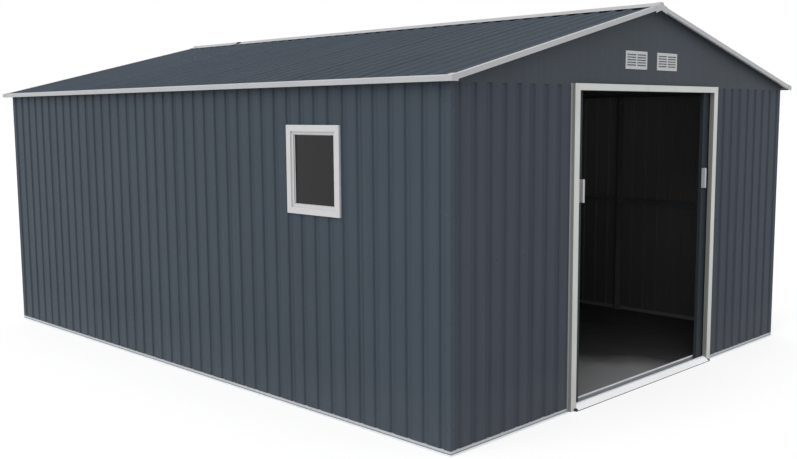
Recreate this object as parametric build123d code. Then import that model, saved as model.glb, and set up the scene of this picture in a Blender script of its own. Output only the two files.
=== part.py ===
from build123d import *
import math
import os

# Ribbed sheet-metal storage shed: origin on the ground at the middle of the plan,
# front doorway towards -Y, +Z up, all lengths in millimetres.

# Main sizes, to the outer faces of the wall sheets
shed_width = 3410.0
shed_depth = 4510.0
wall_height = 1703.0
roof_rise = 429.0
eave_overhang = 50.0
verge_overhang = 53.0

# Wall and roof sheets with their pressed ribs
sheet_thickness = 0.6
rib_pitch = 110.0
rib_mouth = 30.0
rib_floor = 18.0
rib_depth = 8.0

# Galvanised base rail
rail_height = 20.0
rail_sheet = 1.0
rail_lip = 12.0
rail_upstand = 25.0

# Floor deck
floor_thickness = 18.0

# Frame inside the walls
frame_sheet = 1.2
top_rail_overlap = 31.0
top_rail_flange = 30.0
mid_rail_height = 886.0
mid_rail_width = 40.0
mid_rail_depth = 12.0
post_width = 30.0
post_depth = 30.0
post_from_end = 1240.0
corner_post_leg = 40.0

# Frame under the roof
rafter_width = 30.0
rafter_depth = 30.0
purlin_width = 30.0
purlin_depth = 28.0
ridge_beam_reach = 70.0
ridge_beam_drop = 28.0

# Roof trims
trim_sheet = 1.0
eave_face = 24.0
eave_return = 18.0
trim_top_flange = 25.0
verge_face = 25.0
verge_return = 15.0
trim_joint_gap = 0.3
sheet_end_gap = 2.0
ridge_gap = 4.0
eave_trim_lift = 24.5
ridge_cap_reach = 60.0
ridge_roll_foot = 22.0
ridge_roll_top = 13.0
ridge_roll_height = 14.0
cap_wall = 2.0
corner_cap_length = 42.0
ridge_end_reach = 57.0
ridge_end_drop = 36.0
ridge_end_lap = 26.0

# Door surround
door_frame_width = 1535.0
jamb_face = 46.0
jamb_proud = 17.0
jamb_flange = 15.0
jamb_return = 11.0
header_face = 35.0
header_drop = 27.0
wall_edge_lap = 12.0
rail_end_gap = 1.0

# Sliding doors and their tracks
door_width = 740.0
door_thickness = 20.0
door_setback = 18.0
door_open_inset = 70.0
door_meeting_gap = 6.0
door_sheet = 1.0
door_stile = 26.0
door_back_flange = 12.0
door_bottom = 14.0
door_top_gap = 10.0
track_sheet = 1.2
track_width = 32.0
track_outer_leg = 28.0
track_inner_leg = 36.0
track_lip = 6.0
track_end_margin = 16.0
top_track_rise = 2.0
shoe_length = 60.0
shoe_from_edge = 50.0
shoe_chamfer = 6.0
running_gap = 0.5

# Ramp in front of the doorway
ramp_reach = 34.0
ramp_nose = 4.0
ramp_flat_start = 2.0
ramp_plate = 1.5
ramp_side_gap = 1.0

# Door handles
handle_width = 40.0
handle_height = 122.0
handle_centre = 1171.0
handle_plate = 3.0
handle_lip = 24.0
handle_lip_width = 9.0
handle_hook = 8.0
handle_round = 2.0
handle_edge_gap = 2.0

# Window in the left wall
window_width = 418.0
window_height = 466.0
window_from_front = 947.0
window_centre = 1294.0
window_proud = 12.0
window_border = 34.0
window_flange_lap = 22.0
window_inner_depth = 22.0
window_seat_gap = 0.5
bead_width = 15.0
bead_setback = 9.0
bead_depth = 10.0
glass_thickness = 4.0

# Gable vents
vent_width = 221.0
vent_height = 99.0
vent_gap = 109.0
vent_rise = 143.0
vent_plate = 3.0
vent_border = 14.0
vent_mullion = 12.0
vent_slots = 5
vent_slot_height = 8.0
vent_blade = 1.6
vent_blade_depth = 11.0
vent_hole_lap = 8.0

# Places worked out from the sizes above
half_width = shed_width / 2
half_depth = shed_depth / 2
wall_top = rail_height + wall_height
wall_back = rib_depth + sheet_thickness
girt_back = wall_back + mid_rail_depth
top_rail_bottom = wall_top - top_rail_overlap
run = half_width + eave_overhang
roof_half_depth = half_depth + verge_overhang
slope_angle = math.atan2(roof_rise, run)
slope_length = run / math.cos(slope_angle)
trim_top = wall_top + eave_trim_lift
sheet_level = -(trim_sheet + rib_depth)
underside_level = sheet_level - sheet_thickness
jamb_outer = door_frame_width / 2
jamb_inner = jamb_outer - jamb_face
doorway_half = jamb_inner
doorway_height = wall_top - header_drop
door_middle = door_setback + door_thickness / 2
door_open_edge = doorway_half - door_open_inset
door_top = wall_top - door_top_gap
track_front = door_middle - track_width / 2
track_back = door_middle + track_width / 2
track_half_length = door_open_edge + door_width + track_end_margin
top_track_front = wall_back + track_sheet
top_track_back = 2 * door_middle - top_track_front
top_track_ceiling = wall_top + top_track_rise - track_sheet
post_place = half_depth - post_from_end
vent_centre = wall_top + vent_rise

os.makedirs("parts", exist_ok=True)


def save(shape, name):
    """Write one piece under the name of its node."""
    export_step(shape, f"parts/{name}.step")


def parallel_line(points, distance):
    """Points of the mitred line beside an open line, at a distance on its left."""
    line = [Vector(*point) for point in points]
    normals = []
    for start, end in zip(line, line[1:]):
        along = (end - start).normalized()
        normals.append(Vector(-along.Y, along.X))
    shifts = [normals[0]]
    for before, after in zip(normals, normals[1:]):
        shifts.append((before + after) * (1 / (1 + before.dot(after))))
    shifts.append(normals[-1])
    return [point + shift * distance for point, shift in zip(line, shifts)]


def strip_face(points, thickness):
    """Section of a bent metal strip: an open line given a thickness on its left."""
    near_side = [Vector(*point) for point in points]
    far_side = parallel_line(points, thickness)
    return make_face(Polyline(*near_side, *reversed(far_side), close=True))


def outline_face(points):
    """Flat face inside a closed line of straight edges."""
    return make_face(Polyline(*points, close=True))


def bar(face, plane, length):
    """A section carried both ways from a plane, to a total length."""
    return extrude(plane * face, amount=length / 2, both=True)


def box_between(low, high):
    """Square block between its lowest and highest corners."""
    size = [top - bottom for bottom, top in zip(low, high)]
    return Pos(*low) * Box(*size, align=(Align.MIN, Align.MIN, Align.MIN))


def rib_centres(low, high, first, margin):
    """Rib places at the pitch from a first one, whole ribs only, clear of both ends."""
    reach = rib_mouth / 2 + margin
    count = math.floor((high - reach - first) / rib_pitch + 1e-6) + 1
    places = [first + index * rib_pitch for index in range(count)]
    return [place for place in places if place >= low + reach - 1e-6]


def ribbed_line(low, high, centres, depth):
    """Line along a sheet that steps by a depth at each rib; the ribs have sloped sides."""
    line = [(low, 0)]
    for centre in centres:
        line.append((centre - rib_mouth / 2, 0))
        line.append((centre - rib_floor / 2, depth))
        line.append((centre + rib_floor / 2, depth))
        line.append((centre + rib_mouth / 2, 0))
    line.append((high, 0))
    return line


def section_plane(side):
    """Upright plane across a wall: local x runs inwards from its outer face, y up."""
    origins = {
        "front": (0, -half_depth, 0),
        "back": (0, half_depth, 0),
        "left": (-half_width, 0, 0),
        "right": (half_width, 0, 0),
    }
    inward = {"front": (0, 1, 0), "back": (0, -1, 0), "left": (1, 0, 0), "right": (-1, 0, 0)}
    along = {"front": (1, 0, 0), "back": (-1, 0, 0), "left": (0, -1, 0), "right": (0, 1, 0)}
    return Plane(origins[side], x_dir=inward[side], z_dir=along[side])


def plan_plane(side, height):
    """Level plane on a wall: local x runs along it, y inwards from its outer face."""
    along = {"front": (1, 0, 0), "back": (-1, 0, 0), "left": (0, -1, 0), "right": (0, 1, 0)}
    start = section_plane(side).origin
    return Plane((start.X, start.Y, height), x_dir=along[side], z_dir=(0, 0, 1))


across = Plane((0, 0, 0), x_dir=(1, 0, 0), z_dir=(0, -1, 0))


def slope_point(inset, normal):
    """Point over the right slope: up it from the eave edge, and off the trim surface."""
    x = run - inset * math.cos(slope_angle) + normal * math.sin(slope_angle)
    z = trim_top + inset * math.sin(slope_angle) + normal * math.cos(slope_angle)
    return x, z


def slope_height(x, normal):
    """Height over a plan place of the plane that lies off the trim surface."""
    rise = (run - abs(x)) * math.tan(slope_angle)
    return trim_top + rise + normal / math.cos(slope_angle)


def slope_plane(inset):
    """Plane square to the right slope: local x runs to the front, y off the slope."""
    x, z = slope_point(inset, 0)
    uphill = (-math.cos(slope_angle), 0, math.sin(slope_angle))
    return Plane((x, 0, z), x_dir=(0, -1, 0), z_dir=uphill)


def left_copy(shape):
    """The same piece on the left half."""
    return mirror(shape, about=Plane.YZ)


def back_copy(shape):
    """The same piece on the back half."""
    return mirror(shape, about=Plane.XZ)


# Base rail: a lip on the ground, a low web, a shelf under the sheet and an upstand
def base_rail_section():
    line = [
        (-rail_lip, rail_sheet),
        (0, rail_sheet),
        (0, rail_height),
        (wall_back, rail_height),
        (wall_back, rail_height + rail_upstand),
    ]
    return strip_face(line, -rail_sheet)


def corner_wedge(side):
    """Block over one side of the plan, mitred at 45 degrees through both corners."""
    out = 2 * rail_lip
    inside = corner_post_leg
    outer = [(-half_width - out, -half_depth - out), (half_width + out, -half_depth - out)]
    inner = [(half_width - inside, -half_depth + inside), (-half_width + inside, -half_depth + inside)]
    if side == "right":
        outer = [(half_width + out, -half_depth - out), (half_width + out, half_depth + out)]
        inner = [(half_width - inside, half_depth - inside), (half_width - inside, -half_depth + inside)]
    return extrude(outline_face(outer + inner), amount=rail_height + 2 * rail_upstand)


def base_rails():
    section = base_rail_section()
    right = bar(section, section_plane("right"), shed_depth + 4 * rail_lip) & corner_wedge("right")
    front = bar(section, section_plane("front"), shed_width + 4 * rail_lip) & corner_wedge("front")
    rail_end = jamb_outer + jamb_flange + rail_end_gap
    doorway = box_between(
        (-rail_end, -half_depth - 2 * rail_lip, -1),
        (rail_end, -half_depth + 2 * wall_back, rail_height + 2 * rail_upstand),
    )
    save(right, "base_rail_right")
    save(left_copy(right), "base_rail_left")
    save(back_copy(front), "base_rail_back")
    save(front - doorway, "base_rail_front")


# Floor deck between the rails, stepped back behind the bottom door track
def floor_deck():
    edge = rail_sheet
    deck = box_between(
        (-half_width + edge, -half_depth + edge, 0),
        (half_width - edge, half_depth - edge, floor_thickness),
    )
    notch = box_between(
        (-track_half_length, -half_depth, -1),
        (track_half_length, -half_depth + track_back + track_sheet, floor_thickness + 1),
    )
    save(deck - notch, "floor")


# Ribbed wall sheets standing on the rail
def wall_sheet(side, low, high, first, margin=0.0):
    line = ribbed_line(low, high, rib_centres(low, high, first, margin), rib_depth)
    face = strip_face(line, sheet_thickness)
    return extrude(plan_plane(side, rail_height) * face, amount=wall_height)


def walls():
    first_x = -half_width + rib_pitch / 2
    first_y = -half_depth + rib_pitch / 2
    side_end = half_depth - sheet_thickness
    sheet_edge = jamb_outer + wall_edge_lap
    back = wall_sheet("back", -half_width, half_width, first_x)
    right = wall_sheet("right", -side_end, side_end, first_y)
    front_left = wall_sheet("front", -half_width, -sheet_edge, first_x, jamb_flange)
    hole_half_width = window_width / 2 - window_flange_lap
    hole_half_height = window_height / 2 - window_flange_lap
    window_y = -half_depth + window_from_front
    hole = box_between(
        (-half_width - 1, window_y - hole_half_width, window_centre - hole_half_height),
        (-half_width + 2 * wall_back, window_y + hole_half_width, window_centre + hole_half_height),
    )
    save(back, "back_wall")
    save(right, "right_wall")
    save(left_copy(right) - hole, "left_wall")
    save(front_left, "front_wall_left")
    save(left_copy(front_left), "front_wall_right")


# Plain gable sheets with a folded bottom edge and holes behind the vents
def vent_places():
    offset = (vent_width + vent_gap) / 2
    return [-offset, offset]


def gable(y_outer, inward):
    """Gable sheet whose outer face is at a y, thickened inwards."""
    points = [
        (-half_width, wall_top),
        (half_width, wall_top),
        (half_width, slope_height(half_width, underside_level)),
        (0, slope_height(0, underside_level)),
        (-half_width, slope_height(half_width, underside_level)),
    ]
    outer = Plane((0, y_outer, 0), x_dir=(1, 0, 0), z_dir=(0, -1, 0))
    sheet = extrude(outer * outline_face(points), amount=-inward * sheet_thickness)
    for place in vent_places():
        opening = Pos(place, vent_centre) * Rectangle(
            vent_width - 2 * vent_hole_lap, vent_height - 2 * vent_hole_lap
        )
        sheet -= extrude(outer * opening, amount=2 * sheet_thickness, both=True)
    fold_end = half_width - wall_back - frame_sheet
    low_y, high_y = sorted((y_outer, y_outer + inward * wall_back))
    fold = box_between((-fold_end, low_y, wall_top), (fold_end, high_y, wall_top + sheet_thickness))
    return sheet + fold


def gables():
    save(gable(-half_depth, 1), "front_gable")
    save(gable(half_depth, -1), "back_gable")


# Top rails: an upright web behind the sheet with a flange turned inwards below
def top_rails():
    side_line = [
        (wall_back + top_rail_flange, top_rail_bottom),
        (wall_back, top_rail_bottom),
        (wall_back, slope_height(half_width - wall_back, underside_level)),
    ]
    side_length = shed_depth - 2 * sheet_thickness
    right = bar(strip_face(side_line, -frame_sheet), section_plane("right"), side_length)
    slope_cut = outline_face(
        [
            (half_width, slope_height(half_width, underside_level)),
            (half_width - 2 * wall_back, slope_height(half_width - 2 * wall_back, underside_level)),
            (half_width - 2 * wall_back, trim_top + roof_rise),
            (half_width, trim_top + roof_rise),
        ]
    )
    right -= bar(slope_cut, across, 2 * shed_depth)
    web_face = half_width - wall_back - frame_sheet
    front_notch = box_between(
        (0, -half_depth, top_rail_bottom - 1),
        (web_face, -half_depth + top_track_back + track_sheet, wall_top),
    )
    back_notch = box_between(
        (0, half_depth - wall_back - top_rail_flange, top_rail_bottom - 1),
        (web_face, half_depth, wall_top),
    )
    right = right - front_notch - back_notch
    back_line = [
        (wall_back + top_rail_flange, top_rail_bottom),
        (wall_back, top_rail_bottom),
        (wall_back, wall_top + top_rail_overlap / 2),
    ]
    back = bar(strip_face(back_line, -frame_sheet), section_plane("back"), 2 * web_face)
    save(right, "top_rail_right")
    save(left_copy(right), "top_rail_left")
    save(back, "top_rail_back")


# Middle rails round the three closed walls, channels with the open side to the sheet
def mid_rails():
    low = mid_rail_height - mid_rail_width / 2
    high = mid_rail_height + mid_rail_width / 2
    line = [(wall_back, high), (girt_back, high), (girt_back, low), (wall_back, low)]
    section = strip_face(line, -frame_sheet)
    right = bar(section, section_plane("right"), shed_depth - 2 * wall_back)
    back = bar(section, section_plane("back"), shed_width - 2 * girt_back)
    save(right, "mid_rail_right")
    save(left_copy(right), "mid_rail_left")
    save(back, "mid_rail_back")


# Posts: channels on the long walls and the back, angles in the corners
def posts():
    height = top_rail_bottom - floor_thickness
    line = [
        (-post_width / 2, girt_back + post_depth),
        (-post_width / 2, girt_back),
        (post_width / 2, girt_back),
        (post_width / 2, girt_back + post_depth),
    ]
    section = strip_face(line, frame_sheet)
    on_right = plan_plane("right", floor_thickness)
    right = [extrude(on_right * (Pos(y, 0) * section), amount=height) for y in (-post_place, post_place)]
    left = [left_copy(post) for post in right]
    middle = extrude(plan_plane("back", floor_thickness) * section, amount=height)
    save(Compound(children=[*right, *left, middle]), "wall_posts")


def corner_posts():
    height = top_rail_bottom - floor_thickness
    face_x = half_width - girt_back
    posts_made = []
    for face_y in (-half_depth + wall_back + rail_sheet, half_depth - girt_back):
        inward = 1 if face_y < 0 else -1
        line = [
            (face_x - corner_post_leg, face_y),
            (face_x, face_y),
            (face_x, face_y + inward * corner_post_leg),
        ]
        section = strip_face(line, inward * frame_sheet)
        post = extrude(Pos(0, 0, floor_thickness) * section, amount=height)
        posts_made += [post, left_copy(post)]
    save(Compound(children=posts_made), "corner_posts")


# Roof: two ribbed sheets from the eave trims to the ridge
def roof_sheets():
    edge = roof_half_depth - trim_sheet
    count = round(shed_depth / rib_pitch)
    centres = [(index - count / 2) * rib_pitch for index in range(count + 1)]
    inside = [place for place in centres if abs(place) + rib_mouth / 2 < edge]
    line = [(place, sheet_level + step) for place, step in ribbed_line(-edge, edge, inside, rib_depth)]
    length = slope_length - sheet_end_gap - ridge_gap
    right = extrude(slope_plane(sheet_end_gap) * strip_face(line, -sheet_thickness), amount=length)
    save(right, "roof_right")
    save(left_copy(right), "roof_left")


# Roof frame: ridge beam, rafters over the posts and purlins between them
def roof_frame():
    beam_end = half_depth - sheet_thickness
    shoulder = slope_height(ridge_beam_reach, underside_level)
    beam_line = [
        (-ridge_beam_reach, shoulder - ridge_beam_drop),
        (-ridge_beam_reach, shoulder),
        (0, slope_height(0, underside_level)),
        (ridge_beam_reach, shoulder),
        (ridge_beam_reach, shoulder - ridge_beam_drop),
    ]
    save(bar(strip_face(beam_line, -frame_sheet), across, 2 * beam_end), "ridge_beam")

    rafter_line = [
        (-rafter_width / 2, underside_level - rafter_depth),
        (-rafter_width / 2, underside_level),
        (rafter_width / 2, underside_level),
        (rafter_width / 2, underside_level - rafter_depth),
    ]
    section = strip_face(rafter_line, -frame_sheet)
    web_face = half_width - wall_back - frame_sheet
    between = box_between((ridge_beam_reach, -half_depth, 0), (web_face, half_depth, 2 * trim_top))
    rafters = []
    for place in (-post_place, post_place):
        rafter = extrude(slope_plane(0) * (Pos(place, 0) * section), amount=slope_length) & between
        rafters += [rafter, left_copy(rafter)]
    save(Compound(children=rafters), "roof_rafters")

    middle = slope_length / 2
    purlin_line = [
        slope_point(middle - purlin_width / 2, underside_level - purlin_depth),
        slope_point(middle - purlin_width / 2, underside_level),
        slope_point(middle + purlin_width / 2, underside_level),
        slope_point(middle + purlin_width / 2, underside_level - purlin_depth),
    ]
    purlin_face = strip_face(purlin_line, frame_sheet)
    rafter_near = post_place - rafter_width / 2
    rafter_far = post_place + rafter_width / 2
    spans = [(-beam_end, -rafter_far), (-rafter_near, rafter_near), (rafter_far, beam_end)]
    purlins = []
    for low, high in spans:
        purlin = Pos(0, (low + high) / 2, 0) * bar(purlin_face, across, high - low)
        purlins += [purlin, left_copy(purlin)]
    save(Compound(children=purlins), "roof_purlins")


# Folded trims along the eaves and up the verges, with moulded caps on the corners
def roof_trims():
    low_edge = trim_top - eave_face
    eave_line = [slope_point(trim_top_flange, 0), (run, trim_top), (run, low_edge), (run - eave_return, low_edge)]
    eave = bar(strip_face(eave_line, -trim_sheet), across, 2 * roof_half_depth)
    save(eave, "eave_trim_right")
    save(left_copy(eave), "eave_trim_left")

    edge = roof_half_depth
    verge_line = [
        (edge - trim_top_flange, 0),
        (edge, 0),
        (edge, -verge_face),
        (edge - verge_return, -verge_face),
    ]
    section = strip_face(verge_line, -trim_sheet)
    start = trim_top_flange + verge_face * math.tan(slope_angle) + trim_joint_gap
    verge = extrude(slope_plane(start) * section, amount=slope_length)
    middle = Plane((trim_joint_gap / 2, 0, 0), z_dir=(1, 0, 0))
    verge = split(verge, bisect_by=middle, keep=Keep.TOP)
    front = Compound(children=[verge, left_copy(verge)])
    save(front, "verge_trim_front")
    save(back_copy(front), "verge_trim_back")


def corner_caps():
    inner_x = run - corner_cap_length
    low_edge = trim_top - eave_face
    outer_points = [
        (inner_x, slope_height(inner_x, cap_wall)),
        (run + cap_wall, slope_height(run + cap_wall, cap_wall)),
        (run + cap_wall, low_edge),
        (inner_x, low_edge),
    ]
    hollow_points = [
        (inner_x - 1, slope_height(inner_x - 1, 0)),
        (run, trim_top),
        (run, low_edge - 1),
        (inner_x - 1, low_edge - 1),
    ]
    outer_length = corner_cap_length + cap_wall
    outer = extrude(across * outline_face(outer_points), amount=outer_length)
    hollow = Pos(0, cap_wall, 0) * extrude(across * outline_face(hollow_points), amount=outer_length + cap_wall)
    cap = Pos(0, roof_half_depth + cap_wall, 0) * (outer - Pos(0, -2 * cap_wall, 0) * hollow)
    caps = [cap, left_copy(cap), back_copy(cap), back_copy(left_copy(cap))]
    save(Compound(children=caps), "roof_corner_caps")


# Ridge cap with a raised roll, and a moulded end piece at each gable
def ridge_line(reach):
    foot = slope_height(ridge_roll_foot, 0)
    half = [
        (-reach, slope_height(reach, 0)),
        (-ridge_roll_foot, foot),
        (-ridge_roll_top, foot + ridge_roll_height),
    ]
    return half + [(-x, z) for x, z in reversed(half)]


def ridge():
    cap = bar(strip_face(ridge_line(ridge_cap_reach), trim_sheet), across, 2 * roof_half_depth)
    save(cap, "ridge_cap")
    over_cap = parallel_line(ridge_line(ridge_end_reach), trim_sheet)
    hood_line = [(point.X, point.Y) for point in over_cap]
    hood = extrude(across * strip_face(hood_line, cap_wall), amount=ridge_end_lap)
    hood = Pos(0, ridge_end_lap - roof_half_depth, 0) * hood
    outer = [(point.X, point.Y) for point in parallel_line(hood_line, cap_wall)]
    foot = slope_height(ridge_end_reach, 0) - ridge_end_drop
    plate_points = outer + [(ridge_end_reach, foot), (0, foot + ridge_end_drop / 2), (-ridge_end_reach, foot)]
    plate = Pos(0, -roof_half_depth, 0) * extrude(across * outline_face(plate_points), amount=cap_wall)
    front_end = hood + plate
    save(Compound(children=[front_end, back_copy(front_end)]), "ridge_end_caps")


# Door surround: folded jambs and a header with closed ends
def door_surround():
    jamb_line = [
        (jamb_outer + jamb_flange, -trim_sheet),
        (jamb_outer, -trim_sheet),
        (jamb_outer, -jamb_proud),
        (jamb_inner, -jamb_proud),
        (jamb_inner, jamb_return),
        (jamb_inner + jamb_flange, jamb_return),
    ]
    jamb_section = strip_face(jamb_line, -trim_sheet)
    jamb = extrude(plan_plane("front", 0) * jamb_section, amount=doorway_height)
    jamb -= box_between(
        (jamb_inner - 1, -half_depth + track_front - track_sheet, -1),
        (jamb_outer, -half_depth + track_back, track_outer_leg),
    )
    save(jamb, "door_jamb_right")
    save(left_copy(jamb), "door_jamb_left")

    header_top = doorway_height + header_face
    header_line = [
        (0, header_top),
        (-jamb_proud, header_top),
        (-jamb_proud, doorway_height),
        (wall_back, doorway_height),
    ]
    header = bar(strip_face(header_line, trim_sheet), section_plane("front"), door_frame_width)
    end_face = strip_face(jamb_line[:3], -trim_sheet)
    end_plate = extrude(plan_plane("front", doorway_height) * end_face, amount=header_face)
    save(header + end_plate + left_copy(end_plate), "door_header")


# Tracks: a channel in the floor and a channel turned down behind the header
def door_tracks():
    bottom_line = [
        (track_front - track_sheet, track_outer_leg),
        (track_front - track_sheet, 0),
        (track_back + track_sheet, 0),
        (track_back + track_sheet, track_inner_leg),
        (track_back + track_sheet + track_lip, track_inner_leg),
    ]
    bottom = bar(strip_face(bottom_line, track_sheet), section_plane("front"), 2 * track_half_length)
    save(bottom, "door_track_bottom")

    outer = top_track_front - track_sheet
    inner = top_track_back + track_sheet
    ceiling = wall_top + top_track_rise
    top_line = [(outer, doorway_height), (outer, ceiling), (inner, ceiling), (inner, doorway_height)]
    length = 2 * (half_width - wall_back - frame_sheet)
    save(bar(strip_face(top_line, -track_sheet), section_plane("front"), length), "door_track_top")


# Sloping ramp plate before the bottom track, closed at both ends
def door_ramp():
    back = track_front - track_sheet
    line = [(-ramp_reach, 0), (-ramp_reach, ramp_nose), (-ramp_flat_start, track_outer_leg), (back, track_outer_leg)]
    length = 2 * (doorway_half - ramp_side_gap)
    plate = bar(strip_face(line, -ramp_plate), section_plane("front"), length)
    end_face = outline_face(line + [(back, 0)])
    end = extrude(section_plane("front") * end_face, amount=ramp_plate)
    ends = Pos(length / 2 - ramp_plate, 0, 0) * end + Pos(-length / 2, 0, 0) * end
    save(plate + ends, "door_ramp")


# One sliding door, built shut against the middle and then moved to its open place
def door_shift():
    return door_open_edge - door_meeting_gap / 2


def door_frame():
    """Channel frame, open side inwards, mitred round the door."""
    height = door_top - door_bottom
    outside = Rectangle(door_width, height)
    inside = Rectangle(door_width - 2 * door_sheet, height - 2 * door_sheet)
    front_gap = Rectangle(door_width - 2 * door_stile, height - 2 * door_stile)
    back_gap = Rectangle(door_width - 2 * door_back_flange, height - 2 * door_back_flange)
    front = extrude(outside - front_gap, amount=-door_sheet)
    rim = Pos(0, 0, -door_sheet) * extrude(outside - inside, amount=-(door_thickness - 2 * door_sheet))
    back = Pos(0, 0, -(door_thickness - door_sheet)) * extrude(outside - back_gap, amount=-door_sheet)
    return front + rim + back


def right_door():
    """Pieces of the right door at its open place, by name."""
    edge = door_meeting_gap / 2 + door_shift()
    centre_x = edge + door_width / 2
    middle_z = (door_bottom + door_top) / 2
    front_y = -half_depth + door_setback
    front = Plane((centre_x, front_y, middle_z), x_dir=(1, 0, 0), z_dir=(0, -1, 0))
    frame = front * door_frame()

    panel_half = door_width / 2 - door_sheet
    panel_height = door_top - door_bottom - 2 * door_sheet
    first = -math.floor(panel_half / rib_pitch) * rib_pitch + rib_pitch / 2
    centres = rib_centres(-panel_half, panel_half, first, door_stile)
    line = ribbed_line(-panel_half, panel_half, centres, rib_depth)
    plan = Plane((centre_x, front_y + door_sheet, door_bottom + door_sheet), x_dir=(1, 0, 0), z_dir=(0, 0, 1))
    panel = extrude(plan * strip_face(line, sheet_thickness), amount=panel_height)

    places = (edge + shoe_from_edge, edge + door_width - shoe_from_edge)
    middle_y = -half_depth + door_middle
    shoes = []
    for place in places:
        low_half = track_width / 2 - running_gap
        high_half = (top_track_back - top_track_front) / 2 - running_gap
        foot = box_between(
            (place - shoe_length / 2, middle_y - low_half, track_sheet + running_gap),
            (place + shoe_length / 2, middle_y + low_half, door_bottom),
        )
        hanger = box_between(
            (place - shoe_length / 2, middle_y - high_half, door_top),
            (place + shoe_length / 2, middle_y + high_half, top_track_ceiling - running_gap),
        )
        for shoe in (foot, hanger):
            shoes.append(chamfer(shoe.edges().filter_by(Axis.Z), shoe_chamfer))

    near = edge + handle_edge_gap
    grip_line = [
        (near, 0),
        (near + handle_width, 0),
        (near + handle_width, -handle_plate),
        (near + handle_lip_width, -handle_plate),
        (near + handle_lip_width, handle_plate - handle_lip),
        (near + handle_lip_width + handle_hook, handle_plate - handle_lip),
        (near + handle_lip_width + handle_hook, -handle_lip),
        (near, -handle_lip),
    ]
    low = Plane((0, front_y, handle_centre - handle_height / 2), x_dir=(1, 0, 0), z_dir=(0, 0, 1))
    handle = extrude(low * outline_face(grip_line), amount=handle_height)
    handle = fillet(handle.edges().filter_by(Axis.Z).group_by(Axis.Y)[0], handle_round)
    return {
        "frame": frame,
        "panel": panel,
        "sliders": Compound(children=shoes),
        "handle": handle,
    }


def doors():
    for name, piece in right_door().items():
        save(piece, f"door_right_{name}")
        save(left_copy(piece), f"door_left_{name}")


# Window: a stepped frame through the wall, a bead inside it and the glass behind
def window_ring(half_x, half_y, inner_x, inner_y, near, far):
    """Rectangular ring between two depths from the wall's outer face."""
    ring = Rectangle(2 * half_x, 2 * half_y) - Rectangle(2 * inner_x, 2 * inner_y)
    middle_y = -half_depth + window_from_front
    plane = Plane((-half_width + near, middle_y, window_centre), x_dir=(0, 1, 0), z_dir=(1, 0, 0))
    return extrude(plane * ring, amount=far - near)


def window():
    half_x = window_width / 2
    half_y = window_height / 2
    sight_x = half_x - window_border
    sight_y = half_y - window_border
    neck_x = half_x - window_flange_lap - window_seat_gap
    neck_y = half_y - window_flange_lap - window_seat_gap
    face = window_ring(half_x, half_y, sight_x, sight_y, -window_proud, 0)
    neck = window_ring(neck_x, neck_y, sight_x, sight_y, 0, window_inner_depth)
    save(face + neck, "window_frame")

    bead_near = bead_setback - window_proud
    bead_far = bead_near + bead_depth
    bead = window_ring(sight_x, sight_y, sight_x - bead_width, sight_y - bead_width, bead_near, bead_far)
    save(bead, "window_bead")
    middle_y = -half_depth + window_from_front
    plane = Plane((-half_width + bead_far, middle_y, window_centre), x_dir=(0, 1, 0), z_dir=(1, 0, 0))
    save(extrude(plane * Rectangle(2 * sight_x, 2 * sight_y), amount=glass_thickness), "window_glass")


# Gable vents: a plate with two columns of slots and a sloping blade over each slot
def vent():
    """One vent about its own middle: local x across, y up, z out of the gable."""
    plate = extrude(Rectangle(vent_width, vent_height), amount=vent_plate)
    column = (vent_width - 2 * vent_border - vent_mullion) / 2
    row_pitch = (vent_height - 2 * vent_border) / vent_slots
    blade_line = [
        (vent_plate, -vent_slot_height / 2 - vent_blade),
        (vent_plate - vent_blade_depth, vent_slot_height / 2 - vent_blade),
    ]
    for column_x in (-(column + vent_mullion) / 2, (column + vent_mullion) / 2):
        for row in range(vent_slots):
            row_y = (row - (vent_slots - 1) / 2) * row_pitch
            slot = Pos(column_x, row_y) * Rectangle(column, vent_slot_height)
            plate -= extrude(slot, amount=vent_plate)
            side = Plane((column_x, row_y, 0), x_dir=(0, 0, 1), z_dir=(-1, 0, 0))
            plate += bar(strip_face(blade_line, -vent_blade), side, column)
    return plate


def vents():
    one = vent()
    front = Plane((0, -half_depth, vent_centre), x_dir=(1, 0, 0), z_dir=(0, -1, 0))
    pair = Compound(children=[front * (Pos(place, 0) * one) for place in vent_places()])
    save(pair, "vents_front")
    save(back_copy(pair), "vents_back")


base_rails()
floor_deck()
walls()
gables()
top_rails()
mid_rails()
posts()
corner_posts()
roof_sheets()
roof_frame()
roof_trims()
corner_caps()
ridge()
door_surround()
door_tracks()
door_ramp()
doors()
window()
vents()
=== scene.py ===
# Metal storage shed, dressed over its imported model.
# Metres, front doorway towards -Y, underside at z = 0.
import math

import bpy
import numpy as np
from mathutils import Matrix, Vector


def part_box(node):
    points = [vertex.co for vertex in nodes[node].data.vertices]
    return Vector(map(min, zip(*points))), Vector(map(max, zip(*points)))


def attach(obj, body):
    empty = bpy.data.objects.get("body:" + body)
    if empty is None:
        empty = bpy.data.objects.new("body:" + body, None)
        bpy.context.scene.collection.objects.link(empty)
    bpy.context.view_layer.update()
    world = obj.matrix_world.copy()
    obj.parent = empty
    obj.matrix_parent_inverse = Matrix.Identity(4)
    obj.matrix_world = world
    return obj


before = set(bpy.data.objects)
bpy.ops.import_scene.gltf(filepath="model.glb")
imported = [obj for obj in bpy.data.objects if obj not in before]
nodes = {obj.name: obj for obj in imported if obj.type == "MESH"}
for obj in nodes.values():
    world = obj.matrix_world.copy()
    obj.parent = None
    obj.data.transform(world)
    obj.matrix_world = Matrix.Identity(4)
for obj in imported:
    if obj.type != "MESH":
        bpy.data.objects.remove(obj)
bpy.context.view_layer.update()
print("frame loaded:", len(nodes), "nodes")


def lowOf(node):
    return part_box(node)[0]


def highOf(node):
    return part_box(node)[1]


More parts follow.
